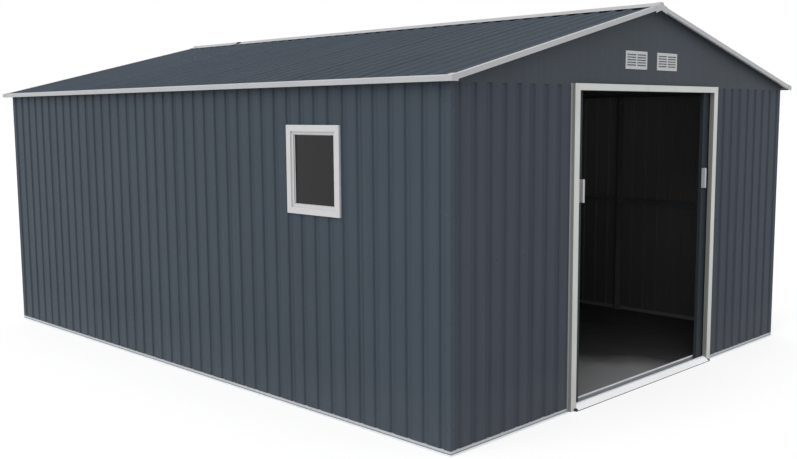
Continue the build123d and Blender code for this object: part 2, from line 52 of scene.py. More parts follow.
# Places on the shed that the small pieces are set out from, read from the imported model;
# the lengths written as numbers are those of its folded and pressed sections.
shed = {
    "halfWidth": highOf("right_wall")[0],
    "halfDepth": highOf("back_wall")[1],
    "wallTop": highOf("right_wall")[2],
    "wallLow": lowOf("right_wall")[2],
    "ribPitch": 0.110,
    "ribMouth": 0.030,
    "ribFloor": 0.018,
    "ribDepth": 0.008,
    "run": highOf("eave_trim_right")[0],
    "rise": 0.429,
    "trimFace": 0.024,
    "trimFlange": 0.025,
    "roofHalfDepth": highOf("ridge_cap")[1],
    "panLevel": -0.009,
    "jambFold": 0.015,
    "ridgeCapReach": highOf("ridge_cap")[0],
    "rollFoot": 0.022,
    "rollTop": 0.013,
    "rollHeight": 0.014,
    "midRail": (lowOf("mid_rail_right")[2] + highOf("mid_rail_right")[2]) / 2,
    "postInset": 1.240,
    "postWeb": 0.0218,
}
slope = math.atan2(shed["rise"], shed["run"])
slopeLength = shed["run"] / math.cos(slope)
trimTop = lowOf("eave_trim_right")[2] + shed["trimFace"]


# Screen levels 0 to 255 turned into the linear colour that a shader takes, for a share s of full:
# ((s + 0.055) / 1.055) ^ 2.4, or s / 12.92 up to 0.04045.
def fromScreen(red, green, blue):
    share = np.array([red, green, blue]) / 255
    linear = np.where(share > 0.04045, ((share + 0.055) / 1.055) ** 2.4, share / 12.92)
    return (*linear.tolist(), 1.0)


def grow(tree, kind, inputs=None, **settings):
    made = tree.nodes.new("ShaderNode" + kind)
    for name, value in settings.items():
        setattr(made, name, value)
    for name, value in (inputs or {}).items():
        if isinstance(value, bpy.types.NodeSocket):
            tree.links.new(value, made.inputs[name])
        else:
            made.inputs[name].default_value = value
    return made


def maths(tree, operation, first, second=0.0):
    return grow(tree, "Math", {0: first, 1: second}, operation=operation).outputs[0]


def product(tree, first, *others):
    for other in others:
        first = maths(tree, "MULTIPLY", first, other)
    return first


def partOf(tree, vector, axis):
    return grow(tree, "SeparateXYZ", {0: vector}).outputs[axis]


def normalPart(tree, axis):
    return partOf(tree, grow(tree, "NewGeometry").outputs["True Normal"], axis)


# A value between two marks, carried over to a new range and held at its ends
def spread(tree, value, low, high, fromLow=0.0, fromHigh=1.0):
    marks = {"Value": value, "From Min": fromLow, "From Max": fromHigh, "To Min": low, "To Max": high}
    return grow(tree, "MapRange", marks).outputs[0]


# One at a mark and nothing beyond a width from it: 1 - |v - mark| / width
def band(tree, value, mark, width):
    away = maths(tree, "ABSOLUTE", maths(tree, "SUBTRACT", value, mark))
    return spread(tree, away, 1.0, 0.0, 0.0, width)


# Noise at a scale per metre, drawn out along the axes that have a small stretch; nearly all of it
# lies in the span.
even = (1, 1, 1)
noiseSpan = (0.3, 0.7)


def noiseOf(tree, coords, scale, stretch=even, detail=3.0):
    moved = grow(tree, "Mapping", {"Vector": coords, "Scale": stretch})
    made = grow(tree, "TexNoise", {"Vector": moved.outputs[0], "Scale": scale, "Detail": detail})
    return made.outputs["Fac"]


# A factor that varies about one by a width in all
def aboutOne(tree, value, width, span=noiseSpan):
    return spread(tree, value, 1 - width / 2, 1 + width / 2, *span)


# Inputs 6 and 7 of the node are its two colours, and output 2 is their mix
def mixColours(tree, share, first, second):
    return grow(tree, "Mix", {0: share, 6: first, 7: second}, data_type="RGBA").outputs[2]


# Paint under a share of another colour, given in screen levels
def coated(tree, paint, share, colour):
    return mixColours(tree, share, paint, fromScreen(*colour))


# A colour made lighter or darker by a factor near 1
def shaded(tree, colour, brightness):
    return grow(tree, "HueSaturation", {"Color": colour, "Value": brightness}).outputs[0]


def bumpOf(tree, height, strength, distance, before=None):
    inputs = {"Height": height, "Strength": strength, "Distance": distance}
    if before is not None:
        inputs["Normal"] = before
    return grow(tree, "Bump", inputs).outputs[0]


def newMaterial(name):
    made = bpy.data.materials.new(name)
    made.use_nodes = True
    tree = made.node_tree
    shader = tree.nodes["Principled BSDF"]
    coords = grow(tree, "TexCoord").outputs["Object"]
    return made, tree, shader, coords


# Links or sets the shader's inputs; an underscore stands for a space
def feed(tree, shader, **sockets):
    for name, value in sockets.items():
        socket = shader.inputs[name.replace("_", " ")]
        if isinstance(value, bpy.types.NodeSocket):
            tree.links.new(value, socket)
        else:
            socket.default_value = value


# Noises are (scale, stretch, detail), bumps (strength, distance), and reaches are from a rib's middle
sheetPaint = {
    "dust": (128, 128, 126),
    "dustAndLightPoolShare": 0.14,
    "dustHeights": (0.02, 0.30),
    "dustNoise": (9.0, (1, 1, 0.5), 6.0),
    "sheetWidth": 0.55,
    "sheetSpread": 0.05,
    "streakScale": 34.0,
    "streakSpread": 0.08,
    "patchScale": 1.4,
    "patchSpread": 0.07,
    "backCoat": (112, 112, 111),
    # The back coat is darkened towards the floor as painted shade
    "backPaintedShade": 0.40,
    "backHeights": (0.10, 1.50),
    # Painted light in each rib's floor and painted shade in a reach beside it
    "groovePaintedLight": 0.25,
    "grooveReach": (0.009, 0.015),
    "ribPaintedShade": 0.20,
    "paintedShadeReach": (0.013, 0.034),
    "roofSidePaintedLight": 1.45,
    "roofLean": (0.3, 0.8),
    "roughScale": 55.0,
    "rough": (0.46, 0.62),
    "waveNoise": (5.0, (1, 1, 0.35), 1.0),
    "waveBump": (0.18, 0.004),
    "grainScale": 900.0,
    "grainBump": (0.05, 0.0004),
    "shine": 0.10,
    "downWall": (1, 1, 0.03),
}
# Ribs repeat along axis, faces look along outward, and a painted highlight line along the ribs is (place,
# width, light)
# These are one slate coating in lighter and darker copies, as painted light and shade for how the light
# falls on the front, the sides, the gables and the roof; the doors are darker still as painted shade.
sheetKinds = {
    "slateSheetAcross": {"axis": "X", "outward": "Y", "colour": (70, 75, 84), "shine": 0.03},
    "slateSheetAlong": {"axis": "Y", "outward": "X", "colour": (63, 72, 81)},
    "slatePlain": {"axis": "X", "outward": "Y", "colour": (65, 71, 78), "ribs": 0.0},
    "slateRoof": {
        "axis": "Y",
        "outward": "Z",
        "colour": (60, 67, 75),
        "runStretch": (0.03, 1, 0.03),
        "phase": 0.0,
        "ribs": 0.1,
        "edge": (0.012, 0.003, 0.30),
        "shine": 0.02,
    },
    "slateDoor": {"axis": "X", "outward": "Y", "colour": (47, 53, 58), "ribs": 0.0},
}


# Distance from the nearest rib: |fract(place / pitch + phase) - 1/2| * pitch
def ribDistance(tree, place, phase):
    share = maths(tree, "ADD", maths(tree, "DIVIDE", place, shed["ribPitch"]), phase)
    away = maths(tree, "SUBTRACT", maths(tree, "FRACT", share), 0.5)
    return product(tree, maths(tree, "ABSOLUTE", away), shed["ribPitch"])


# One on the faces that look into the shed, where normal * place < 0 along an axis
def facingIn(tree, coords, axis):
    return maths(tree, "LESS_THAN", product(tree, normalPart(tree, axis), partOf(tree, coords, axis)), 0.0)


# Coated sheet steel: a tone per sheet, faint runs down it, dust low on it, slow waves and a fine
# grain. Painted shade darkens a reach beside each rib and painted light lifts its floor, and the
# roof's ribs have painted light on their sides and a thin painted highlight along them. The side that
# looks into the shed has only the grey back coat, darkened towards the floor as painted shade.
def makeSheetPaint(name, axis, outward, colour, runStretch=sheetPaint["downWall"], phase=0.5, ribs=1.0,
                   edge=None, shine=sheetPaint["shine"]):
    made, tree, shader, coords = newMaterial(name)
    look = sheetPaint
    place, height = partOf(tree, coords, axis), partOf(tree, coords, "Z")
    sheet = maths(tree, "FLOOR", maths(tree, "DIVIDE", place, look["sheetWidth"]))
    tone = grow(tree, "TexWhiteNoise", {"W": sheet}, noise_dimensions="1D").outputs["Value"]
    tone = aboutOne(tree, tone, look["sheetSpread"], (0.0, 1.0))
    runs = aboutOne(tree, noiseOf(tree, coords, look["streakScale"], runStretch), look["streakSpread"])
    patch = aboutOne(tree, noiseOf(tree, coords, look["patchScale"]), look["patchSpread"])
    bright = product(tree, tone, runs, patch)
    # Painted shade beside each rib and painted light in its floor
    if ribs > 0:
        away = ribDistance(tree, place, phase)
        paintedGrooveLight = spread(tree, away, look["groovePaintedLight"] * ribs, 0.0, *look["grooveReach"])
        paintedRibShade = spread(tree, away, 1.0 - look["ribPaintedShade"] * ribs, 1.0, *look["paintedShadeReach"])
        ribPaintedShading = maths(tree, "ADD", paintedGrooveLight, paintedRibShade)
        # Painted highlight: a thin bright line along the roof's ribs
        if edge is not None:
            mark, width, light = edge
            ribPaintedShading = maths(tree, "ADD", ribPaintedShading, product(tree, band(tree, away, mark, width), light))
        bright = product(tree, bright, ribPaintedShading)
    # Painted light: the roof ribs' sides, which face along y, are made lighter
    if outward == "Z":
        lean = maths(tree, "ABSOLUTE", normalPart(tree, "Y"))
        bright = product(tree, bright, spread(tree, lean, 1.0, look["roofSidePaintedLight"], *look["roofLean"]))
    paint = shaded(tree, fromScreen(*colour), bright)
    # Painted shade: the back coat darker towards the floor
    backShadeFactor = spread(tree, height, look["backPaintedShade"], 1.0, *look["backHeights"])
    backCoat = shaded(tree, fromScreen(*look["backCoat"]), product(tree, patch, backShadeFactor))
    paint = mixColours(tree, facingIn(tree, coords, outward), paint, backCoat)
    low = spread(tree, height, look["dustAndLightPoolShare"], 0.0, *look["dustHeights"])
    dusty = product(tree, low, noiseOf(tree, coords, *look["dustNoise"]))
    paint = coated(tree, paint, dusty, look["dust"])
    rough = spread(tree, noiseOf(tree, coords, look["roughScale"]), *look["rough"], *noiseSpan)
    wave = bumpOf(tree, noiseOf(tree, coords, *look["waveNoise"]), *look["waveBump"])
    grain = bumpOf(tree, noiseOf(tree, coords, look["grainScale"]), *look["grainBump"], wave)
    feed(tree, shader, Base_Color=paint, Roughness=rough, Normal=grain, Specular_IOR_Level=shine)
    return made


trimPaint = {
    # The fold colour is painted shade on the surround's folded sides; the flange colour darkens its flanges
    # on the wall
    "fold": (120, 122, 119),
    "foldLean": (0.5, 0.9),
    "flange": (146, 148, 145),
    "flangeFrom": -2.262,
    "grime": (158, 157, 150),
    "grimeShare": 0.22,
    "grimeSpan": (0.52, 0.78),
    "patchNoise": (7.0, (1, 1, 0.5), 6.0),
    "fleckNoise": (260.0, even, 2.0),
    "fleckShare": 0.15,
    "fleckSpan": (0.70, 0.78),
    "toneScale": 2.2,
    "toneSpread": 0.06,
    "rough": (0.34, 0.50),
    "peelScale": 700.0,
    "peelBump": (0.06, 0.0005),
    "shine": 0.35,
}
trimKinds = {
    # The roof trims are the surround's white paint in a darker copy, as painted shade for the brighter
    # light on them
    "whiteTrim": {"colour": (173, 174, 177)},
    "surroundTrim": {"colour": (198, 200, 197), "foldShadeShare": 0.9},
    "rampWhite": {"colour": (252, 252, 255), "grimeShare": 0.03, "shine": 0.6},
}


# Painted folded steel: off-white with faint grime in drawn-out patches and small flecks. On the
# door surround the flanges on the wall are darker, and the folded sides, whose normal runs along
# x, are darkened as painted shade.
def makeTrimPaint(name, colour, grimeShare=trimPaint["grimeShare"], foldShadeShare=0.0,
                  shine=trimPaint["shine"]):
    made, tree, shader, coords = newMaterial(name)
    look = trimPaint
    patch = noiseOf(tree, coords, *look["patchNoise"])
    grime = spread(tree, patch, 0.0, grimeShare, *look["grimeSpan"])
    fleck = noiseOf(tree, coords, *look["fleckNoise"])
    fleck = spread(tree, fleck, 0.0, look["fleckShare"], *look["fleckSpan"])
    tone = aboutOne(tree, noiseOf(tree, coords, look["toneScale"]), look["toneSpread"])
    paint = shaded(tree, fromScreen(*colour), tone)
    paint = coated(tree, paint, maths(tree, "ADD", grime, fleck), look["grime"])
    # The folded sides, whose normal runs along x, get painted shade; the flanges on the wall are made
    # darker
    if foldShadeShare > 0:
        foldShade = maths(tree, "ABSOLUTE", normalPart(tree, "X"))
        foldShade = spread(tree, foldShade, 0.0, foldShadeShare, *look["foldLean"])
        onWall = maths(tree, "GREATER_THAN", partOf(tree, coords, "Y"), look["flangeFrom"])
        paint = coated(tree, paint, onWall, look["flange"])
        paint = coated(tree, paint, foldShade, look["fold"])
    peel = bumpOf(tree, noiseOf(tree, coords, look["peelScale"]), *look["peelBump"])
    rough = spread(tree, patch, *look["rough"])
    feed(tree, shader, Base_Color=paint, Roughness=rough, Normal=peel, Specular_IOR_Level=shine)
    return made


zinc = {
    "spangles": 62.0,
    "spangleShare": 0.45,
    "cloudNoise": (12.0, even, 5.0),
    "cloudShare": 0.5,
    # Painted colours: shade on a base rail's inward faces, a shadow line in the fold above its lip, and a
    # highlight on the lip and on the track's top
    "inside": (108, 111, 114),
    "seamShade": (84, 86, 88),
    "seamHeight": 0.005,
    "lip": (250, 251, 254),
    "lipTop": 0.002,
    "highlightRise": 0.0008,
    "rough": (0.36, 0.56),
    "grainBump": (0.05, 0.0006),
}
zincKinds = {
    "railZinc": {"colour": (190, 193, 198), "dull": (168, 171, 176), "metal": 0.15, "baseRail": True},
    # The frame and posts are the rails' zinc in darker copies, as painted shade for the dim inside of the
    # shed
    "frameSteel": {"colour": (108, 111, 114), "dull": (82, 85, 88), "metal": 0.35},
    "postSteel": {"colour": (118, 120, 122), "dull": (98, 100, 103), "metal": 0.20},
    # From this height up the track is painted near white, a painted highlight on its top lip
    "trackSteel": {"colour": (170, 175, 183), "dull": (144, 149, 156), "metal": 0.10, "highlightFrom": 0.03},
    "fastener": {"colour": (190, 193, 198), "dull": (168, 171, 176), "metal": 0.25},
}


# Galvanised steel: crystal spangles, each with its own tone and shine. Above a height, where there is one,
# a painted highlight makes the track's top lip near white. A base rail has painted shade on its inward
# faces, a painted shadow line above its lip, and a painted highlight on the lip.
def makeZinc(name, colour, dull, metal, highlightFrom=None, baseRail=False):
    made, tree, shader, coords = newMaterial(name)
    look = zinc
    height = partOf(tree, coords, "Z")
    cells = grow(tree, "TexVoronoi", {"Vector": coords, "Scale": look["spangles"]})
    tone = grow(tree, "RGBToBW", {0: cells.outputs["Color"]}).outputs[0]
    cloud = noiseOf(tree, coords, *look["cloudNoise"])
    share = product(tree, cloud, look["cloudShare"])
    share = maths(tree, "ADD", product(tree, tone, look["spangleShare"]), share)
    paint = coated(tree, fromScreen(*colour), share, dull)
    # Painted highlight: near white above a height, on the track's top lip
    if highlightFrom is not None:
        trackHighlight = spread(tree, height, 0.0, 1.0, highlightFrom, highlightFrom + look["highlightRise"])
        paint = coated(tree, paint, trackHighlight, look["lip"])
    # Painted shadow line above the lip, painted highlight on the lip and painted shade on the inward faces
    if baseRail:
        seamShade = band(tree, height, look["seamHeight"], look["seamHeight"])
        paint = coated(tree, paint, seamShade, look["seamShade"])
        lip = maths(tree, "LESS_THAN", height, look["lipTop"])
        paint = coated(tree, paint, lip, look["lip"])
        inward = maths(tree, "MAXIMUM", facingIn(tree, coords, "X"), facingIn(tree, coords, "Y"))
        paint = coated(tree, paint, inward, look["inside"])
    rough = spread(tree, tone, *look["rough"])
    grain = bumpOf(tree, maths(tree, "ADD", tone, cloud), *look["grainBump"])
    feed(tree, shader, Base_Color=paint, Roughness=rough, Metallic=metal, Normal=grain)
    return made


deck = {
    "colour": (62, 62, 63),
    "cloudNoise": (3.2, even, 7.0),
    "dark": (56, 56, 57),
    "darkShare": 0.7,
    "darkSpan": (0.35, 0.7),
    "scuff": (74, 74, 73),
    "scuffNoise": (9.0, (0.25, 2.2, 1), 5.0),
    "scuffShare": 0.5,
    "scuffSpan": (0.58, 0.74),
    "speckNoise": (420.0, even, 2.0),
    "speckSpread": 0.30,
    # The pale colour and the keys that follow it make a pool of painted light behind the doorway
    "doorLightPool": (136, 137, 138),
    "lightPoolFrom": (-0.30, -2.25, 0.018),
    "lightPoolReach": (0.50, 0.82),
    "dustAndLightPoolShare": 0.95,
    "lightPoolWander": 0.06,
    "board": 1.22,
    "joint": 0.0025,
    "jointShare": 0.6,
    "rough": (0.5, 0.75),
    "grainBump": (0.15, 0.0008),
    "shine": 0.3,
}


# Floor deck of painted boards: cloudy wear, fine speckle, a few scuffs, joints every board width,
# and a pale pool of painted light behind the doorway
def makeDeck(name):
    made, tree, shader, coords = newMaterial(name)
    look = deck
    cloud = noiseOf(tree, coords, *look["cloudNoise"])
    speck = noiseOf(tree, coords, *look["speckNoise"])
    scuff = noiseOf(tree, coords, *look["scuffNoise"])
    scuff = spread(tree, scuff, 0.0, look["scuffShare"], *look["scuffSpan"])
    dark = spread(tree, cloud, 0.0, look["darkShare"], *look["darkSpan"])
    paint = coated(tree, fromScreen(*look["colour"]), dark, look["dark"])
    paint = coated(tree, paint, scuff, look["scuff"])
    paint = shaded(tree, paint, aboutOne(tree, speck, look["speckSpread"]))
    # Painted light: a pale pool behind the doorway, fading with distance from a spot there
    spot = grow(tree, "VectorMath", {0: coords, 1: look["lightPoolFrom"]}, operation="DISTANCE").outputs["Value"]
    wander = spread(tree, cloud, -look["lightPoolWander"], look["lightPoolWander"], *noiseSpan)
    lightPool = spread(tree, maths(tree, "ADD", spot, wander), look["dustAndLightPoolShare"], 0.0, *look["lightPoolReach"])
    paint = coated(tree, paint, lightPool, look["doorLightPool"])
    place = maths(tree, "FRACT", maths(tree, "DIVIDE", partOf(tree, coords, "Y"), look["board"]))
    joint = band(tree, place, 0.5, look["joint"] / look["board"])
    paint = coated(tree, paint, product(tree, joint, look["jointShare"]), look["dark"])
    grain = bumpOf(tree, maths(tree, "SUBTRACT", speck, joint), *look["grainBump"])
    rough = spread(tree, cloud, *look["rough"])
    feed(tree, shader, Base_Color=paint, Roughness=rough, Normal=grain, Specular_IOR_Level=look["shine"])
    return made


moulding = {
    "cloudNoise": (6.0, even, 4.0),
    "aged": (186, 186, 183),
    "agedShare": 0.5,
    "agedSpan": (0.45, 0.75),
    "grainNoise": (1400.0, even, 2.0),
    "grainSpread": 0.06,
    "grainBump": (0.12, 0.0004),
    "mitreWidth": 0.0016,
    "mitreDark": 0.72,
    "mitreBump": (0.4, 0.0006),
    "rough": (0.36, 0.52),
    "shine": 0.4,
}
mouldingKinds = {
    "ventMoulding": {"colour": (180, 183, 186)},
    "windowMoulding": {"colour": (194, 194, 196), "mitre": "window_frame"},
    "handleMoulding": {"colour": (178, 178, 181)},
    "blackMoulding": {"colour": (34, 35, 37), "aged": (48, 48, 46)},
}


# Moulded plastic: an even colour that ages in places, with a fine spark-eroded grain.
# A window frame also has welded mitres, a line where |y| - half width = |z| - half height
# about its middle.
def makePlastic(name, colour, aged=moulding["aged"], mitre=None):
    made, tree, shader, coords = newMaterial(name)
    look = moulding
    cloud = noiseOf(tree, coords, *look["cloudNoise"])
    grain = noiseOf(tree, coords, *look["grainNoise"])
    share = spread(tree, cloud, 0.0, look["agedShare"], *look["agedSpan"])
    paint = coated(tree, fromScreen(*colour), share, aged)
    paint = shaded(tree, paint, aboutOne(tree, grain, look["grainSpread"]))
    normal = bumpOf(tree, grain, *look["grainBump"])
    if mitre is not None:
        low, high = np.array(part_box(mitre))
        middle, half = (low + high) / 2, (high - low) / 2
        across = maths(tree, "SUBTRACT", partOf(tree, coords, "Y"), float(middle[1]))
        upward = maths(tree, "SUBTRACT", partOf(tree, coords, "Z"), float(middle[2]))
        apart = maths(tree, "SUBTRACT", maths(tree, "ABSOLUTE", across), maths(tree, "ABSOLUTE", upward))
        line = band(tree, apart, float(half[1] - half[2]), look["mitreWidth"])
        paint = shaded(tree, paint, spread(tree, line, 1.0, look["mitreDark"]))
        normal = bumpOf(tree, maths(tree, "SUBTRACT", 1.0, line), *look["mitreBump"], normal)
    rough = spread(tree, cloud, *look["rough"])
    feed(tree, shader, Base_Color=paint, Roughness=rough, Normal=normal, Specular_IOR_Level=look["shine"])
    return made


pane = {
    "tint": (84, 87, 88),
    "tintRange": (0.94, 1.04),
    "dustNoise": (60.0, even, 6.0),
    "haze": 0.05,
    "hazeSpan": (0.45, 0.8),
    "rippleNoise": (7.0, even, 1.0),
    "rippleBump": (0.1, 0.002),
    "index": 1.36,
    "shine": 0.17,
}


# Acrylic pane: clear with a grey cast, a little dust and slow ripples
def makePane(name):
    made, tree, shader, coords = newMaterial(name)
    dust = noiseOf(tree, coords, *pane["dustNoise"])
    tint = shaded(tree, fromScreen(*pane["tint"]), spread(tree, dust, *pane["tintRange"], *noiseSpan))
    ripple = bumpOf(tree, noiseOf(tree, coords, *pane["rippleNoise"]), *pane["rippleBump"])
    rough = spread(tree, dust, 0.0, pane["haze"], *pane["hazeSpan"])
    feed(tree, shader, Base_Color=tint, Roughness=rough, Normal=ripple)
    feed(tree, shader, Transmission_Weight=1.0, IOR=pane["index"], Specular_IOR_Level=pane["shine"])
    return made


makers = (
    (makeSheetPaint, sheetKinds),
    (makeTrimPaint, trimKinds),
    (makeZinc, zincKinds),
    (makeDeck, {"floorGrey": {}}),
    (makePlastic, mouldingKinds),
    (makePane, {"acrylicPane": {}}),
)
finishes = {name: make(name, **look) for make, kinds in makers for name, look in kinds.items()}
print("materials made:", len(finishes))

wearing = {
    "slateSheetAcross": ["front_wall_left", "front_wall_right", "back_wall"],
    "slateSheetAlong": ["left_wall", "right_wall"],
    "slatePlain": ["front_gable", "back_gable"],
    "slateDoor": ["door_left_panel", "door_right_panel", "door_left_frame", "door_right_frame"],
    "slateRoof": ["roof_left", "roof_right"],
    "whiteTrim": [
        "eave_trim_left", "eave_trim_right", "verge_trim_front", "verge_trim_back",
        "ridge_cap", "roof_corner_caps", "ridge_end_caps",
    ],
    "surroundTrim": ["door_header", "door_jamb_left", "door_jamb_right"],
    "rampWhite": ["door_ramp"],
    "railZinc": ["base_rail_front", "base_rail_back", "base_rail_left", "base_rail_right"],
    "trackSteel": ["door_track_bottom"],
    "postSteel": ["wall_posts", "corner_posts"],
    "frameSteel": [
        "mid_rail_left", "mid_rail_right", "mid_rail_back", "top_rail_left", "top_rail_right",
        "top_rail_back", "ridge_beam", "roof_rafters", "roof_purlins", "door_track_top",
    ],
    "floorGrey": ["floor"],
    "ventMoulding": ["vents_front", "vents_back"],
    "windowMoulding": ["window_frame", "window_bead"],
    "handleMoulding": ["door_left_handle", "door_right_handle"],
    "blackMoulding": ["door_left_sliders", "door_right_sliders"],
    "acrylicPane": ["window_glass"],
}


def dressNodes():
    for finish, names in wearing.items():
        for name in names:
            data = nodes[name].data
            data.materials.clear()
            data.materials.append(finishes[finish])
    bare = set(nodes) - {name for names in wearing.values() for name in names}
    print("nodes dressed, left bare:", sorted(bare))


dressNodes()


def putMesh(name, spots, faces, finish, body="shed", smooth=False):
    data = bpy.data.meshes.new(name)
    data.from_pydata(spots.reshape(-1, 3).tolist(), [], faces)
    data.materials.append(finishes[finish])
    data.polygons.foreach_set("use_smooth", np.full(len(data.polygons), smooth))
    data.update()
    piece = bpy.data.objects.new(name, data)
    bpy.context.scene.collection.objects.link(piece)
    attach(piece, body)
    return piece


# Quads between neighbours (i, j), (i, j+1), (i+1, j+1), (i+1, j) on a grid of rings by places
# round each ring; rings close on themselves, and so does the run of rings if it is looped.
def gridFaces(rings, around, looped=False):
    ring, step = np.meshgrid(np.arange(rings if looped else rings - 1), np.arange(around), indexing="ij")
    start, nextStart = ring * around, (ring + 1) % rings * around
    nextStep = (step + 1) % around
    corners = [start + step, start + nextStep, nextStart + nextStep, nextStart + step]
    return np.stack(corners, -1).reshape(-1, 4)


# Vectors in rows, each brought to length one
def unit(vectors):
    return vectors / np.linalg.norm(vectors, axis=1, keepdims=True)


# Even turns round a full circle
def turns(count):
    return np.arange(count) * 2 * math.pi / count


nearlyUpright = 0.8


# For each unit normal n, the columns side = hint x n, up = n x side, and n itself; the hint is z,
# or y for a normal that is nearly upright
def squareTo(normals):
    hint = np.where(np.abs(normals[:, 2:3]) > nearlyUpright, [[0.0, 1.0, 0.0]], [[0.0, 0.0, 1.0]])
    side = unit(np.cross(hint, normals))
    return np.stack([side, np.cross(normals, side), normals], -1)


# Radii and heights in millimetres up the outline of each kind of head
fixings = {
    "sheetScrew": {
        "around": 10,
        "radius": [0, 6.0, 5.6, 3.9, 3.5, 2.0, 0],
        "height": [-0.3, -0.3, 0.7, 1.0, 2.2, 3.0, 3.1],
    },
    "roofScrew": {
        "around": 12,
        "hexRings": (3, 4),
        "radius": [0, 8.0, 7.4, 4.4, 4.4, 0],
        "height": [-0.3, -0.3, 1.0, 1.2, 4.4, 4.8],
    },
    "rivet": {
        "around": 8,
        "radius": [0, 3.6, 3.3, 2.2, 1.0, 0],
        "height": [-0.2, -0.2, 0.6, 1.2, 1.5, 1.5],
    },
    "panScrew": {
        "around": 12,
        "radius": [0, 3.8, 3.7, 2.9, 1.5, 0],
        "height": [-0.2, -0.2, 0.9, 1.7, 2.1, 2.1],
    },
    "bolt": {
        "around": 12,
        "hexRings": (3, 4),
        "radius": [0, 9.0, 9.0, 6.4, 6.4, 0],
        "height": [-0.3, -0.3, 1.2, 1.3, 5.6, 6.0],
    },
}
millimetres = 1000
hexFlat = math.pi / 3


# A head is its outline (radius r, height h) turned about the normal: (r cos t, r sin t, h).
# On a hexagonal ring r grows by 1 / cos of the angle from the nearest flat's middle.
# Each copy is that head in the axes of squareTo, moved to its place.
def setFixings(name, kind, places, normals, finish, body="shed"):
    spec = fixings[kind]
    rings, around = len(spec["radius"]), spec["around"]
    turn = turns(around)
    radius = np.array(spec["radius"], float)[:, None] * np.ones(around)
    for ring in spec.get("hexRings", ()):
        radius[ring] *= 1 / np.cos((turn + hexFlat / 2) % hexFlat - hexFlat / 2)
    height = np.array(spec["height"])[:, None] * np.ones(around)
    head = np.stack([radius * np.cos(turn), radius * np.sin(turn), height], -1).reshape(-1, 3) / millimetres
    # the first and last rings shrink to one point each
    keep = np.arange(rings * around)
    keep[:around] = 0
    keep[-around:] = (rings - 1) * around
    used, place = np.unique(keep, return_inverse=True)
    faces = place[gridFaces(rings, around)]
    spots = np.einsum("kij,nj->kni", squareTo(unit(normals)), head[used]) + places[:, None]
    allFaces = (faces[None] + np.arange(len(places))[:, None, None] * len(used)).reshape(-1, 4)
    trimmed = [list(dict.fromkeys(face)) for face in allFaces.tolist()]
    return putMesh(name, spots, trimmed, finish, body)


# Evenly spaced places between two ends, at about a pitch
def row(start, end, pitch):
    return np.linspace(start, end, max(2, int(round(abs(end - start) / pitch)) + 1))


# Places from three values or arrays that go together
def points(x, y, z):
    x, y, z = np.broadcast_arrays(np.asarray(x, float), np.asarray(y, float), np.asarray(z, float))
    return np.stack([x, y, z], -1).reshape(-1, 3)


# Gathers rows of places that face one way each, for one call of setFixings
class Spots:
    def __init__(self):
        self.places, self.normals = [], []

    def add(self, places, direction):
        self.places.append(places)
        self.normals.append(np.tile(np.array(direction, float), (len(places), 1)))

    def fix(self, name, kind, finish, body="shed"):
        setFixings(name, kind, np.concatenate(self.places), np.concatenate(self.normals), finish, body)


# Places on a slope, side -1 left or 1 right: an inset s up it from the eave edge and a level n off
# the trim surface give x = run - s cos a + n sin a and z = top + s sin a + n cos a.
def onSlope(side, inset, y, level):
    inset, y = np.meshgrid(np.asarray(inset, float), np.asarray(y, float), indexing="ij")
    x = shed["run"] - inset * math.cos(slope) + level * math.sin(slope)
    z = trimTop + inset * math.sin(slope) + level * math.cos(slope)
    return points(side * x, y, z)


def slopeNormal(side):
    return (side * math.sin(slope), 0, math.cos(slope))


wallScrews = {
    "low": 0.033,
    "fromTop": 0.0165,
    "every": 2,
    "clearOfDoor": 0.80,
    "cornerInset": 0.022,
    "cornerLow": 0.12,
    "cornerFromTop": 0.10,
    "cornerPitch": 0.52,
}


# Screws between the ribs of the walls in three rows, and up both faces of each corner
def wallFixings():
    pitch, halfWidth, halfDepth = shed["ribPitch"], shed["halfWidth"], shed["halfDepth"]
    alongY = np.arange(-halfDepth + pitch, halfDepth - pitch / 2, wallScrews["every"] * pitch)
    alongX = np.arange(-halfWidth + pitch, halfWidth - pitch / 2, wallScrews["every"] * pitch)
    frontX = alongX[np.abs(alongX) > wallScrews["clearOfDoor"]]
    screws = Spots()
    for z in (wallScrews["low"], shed["midRail"], shed["wallTop"] - wallScrews["fromTop"]):
        for side in (-1, 1):
            screws.add(points(side * halfWidth, alongY, z), (side, 0, 0))
        screws.add(points(alongX, halfDepth, z), (0, 1, 0))
        screws.add(points(frontX, -halfDepth, z), (0, -1, 0))
    top = shed["wallTop"] - wallScrews["cornerFromTop"]
    heights = row(wallScrews["cornerLow"], top, wallScrews["cornerPitch"])
    cornerX, cornerY = halfWidth - wallScrews["cornerInset"], halfDepth - wallScrews["cornerInset"]
    for side in (-1, 1):
        for end in (-1, 1):
            screws.add(points(side * cornerX, end * halfDepth, heights), (0, end, 0))
            screws.add(points(side * halfWidth, end * cornerY, heights), (side, 0, 0))
    screws.fix("wall_screws", "sheetScrew", "slateSheetAcross")
    print("wall screws set")


roofScrews = {
    "pansEachSide": 20,
    "everyPan": 2,
    "eaveInset": 0.050,
    "capInset": 0.012,
    "capLift": 0.001,
    "rivetInset": 0.012,
    "vergeLow": 0.10,
    "vergeHigh": 0.09,
    "vergePitch": 0.30,
    "eaveEnd": 0.09,
    "eavePitch": 0.33,
}


